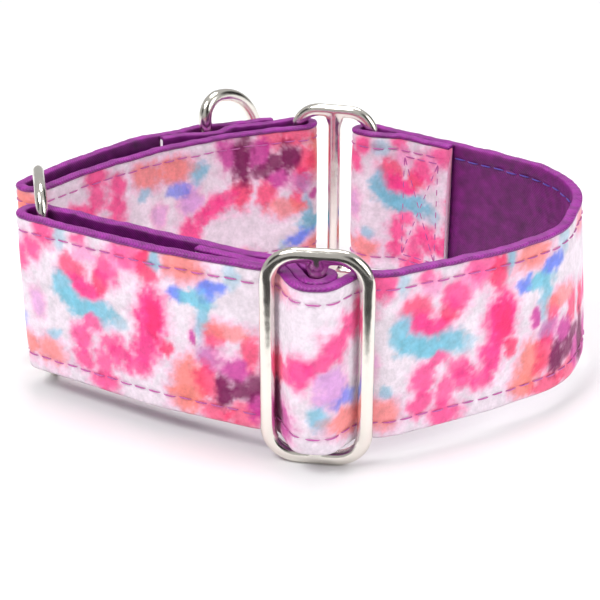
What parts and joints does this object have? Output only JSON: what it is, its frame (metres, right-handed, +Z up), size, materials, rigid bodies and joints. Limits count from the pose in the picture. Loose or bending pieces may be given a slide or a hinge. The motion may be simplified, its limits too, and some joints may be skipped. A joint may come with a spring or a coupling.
{
  "type": "martingale collar",
  "caption": "Wide tie-dye martingale collar for a dog, with a satin lining, an adjuster slide, a control loop between slotted rings and a D-shaped lead ring.",
  "frame": {"origin": "middle of the footprint, on the surface that the lower ends of the castings stand on", "axes": "+X to the wearer's strap bend opposite the left ring, +Y from the adjuster slide towards the lead ring, +Z up along the height of the strap"},
  "size_m": [0.1317, 0.1212, 0.0526],
  "materials": {
    "print_velvet": "matte velvet with a pink, purple and blue tie-dye print",
    "purple_satin": "satin",
    "webbing": "plain woven",
    "thread": "matte",
    "nickel": "polished nickel plate"
  },
  "bodies": {
    "neck_band": {"neck_band_cover": "print_velvet", "neck_band_webbing": "webbing", "neck_band_lining": "purple_satin", "neck_band_top_stitching": "thread", "neck_band_bottom_stitching": "thread", "tab_box_stitching": "thread", "tail_stitching": "thread"},
    "control_loop": {"control_loop_cover": "print_velvet", "control_loop_webbing": "webbing", "control_loop_lining": "purple_satin", "control_loop_top_stitching": "thread", "control_loop_bottom_stitching": "thread"},
    "lead_seam": {"lead_seam_stitching": "thread"},
    "adjuster_slide": {"adjuster_slide": "nickel"},
    "left_ring": {"left_ring": "nickel"},
    "back_ring": {"back_ring": "nickel"},
    "lead_ring": {"lead_ring": "nickel"}
  },
  "joints": [
    {"name": "adjuster_travel", "type": "slide", "parent": "neck_band", "child": "adjuster_slide", "axis": [0.9877, -0.1564, 0], "range_m": [-0.01, 0.01], "deforming": ["neck_band_cover", "neck_band_webbing", "neck_band_lining", "neck_band_top_stitching", "neck_band_bottom_stitching", "tab_box_stitching", "tail_stitching"]},
    {"name": "left_ring_turn", "type": "hinge", "parent": "neck_band", "child": "left_ring", "pos_m": [-0.05636, -0.01835, 0.0245], "axis": [0, 0, 1], "range_deg": [-8, 8]},
    {"name": "back_ring_turn", "type": "hinge", "parent": "neck_band", "child": "back_ring", "pos_m": [0.01984, 0.04225, 0.0245], "axis": [0, 0, 1], "range_deg": [-9.1, 9.1]},
    {"name": "control_loop_turn", "type": "hinge", "parent": "back_ring", "child": "control_loop", "pos_m": [0.00028, 0.04804, 0.0245], "axis": [0, 0, 1], "range_deg": [-11.4, 11.4]},
    {"name": "lead_pull", "type": "slide", "parent": "control_loop", "child": "lead_seam", "axis": [-0.4695, 0.8829, 0], "range_m": [0, 0.012], "deforming": ["control_loop_cover", "control_loop_webbing", "control_loop_lining", "control_loop_top_stitching", "control_loop_bottom_stitching"]},
    {"name": "lead_ring_swing", "type": "hinge", "parent": "lead_seam", "child": "lead_ring", "pos_m": [-0.02376, 0.04235, 0.0245], "axis": [0, 0, 1], "range_deg": [-6, 125]}
  ],
  "couplings": [
    {"joint": "back_ring_turn", "follows": "left_ring_turn", "ratio": 1.1147},
    {"joint": "control_loop_turn", "follows": "left_ring_turn", "ratio": -1.4061}
  ]
}
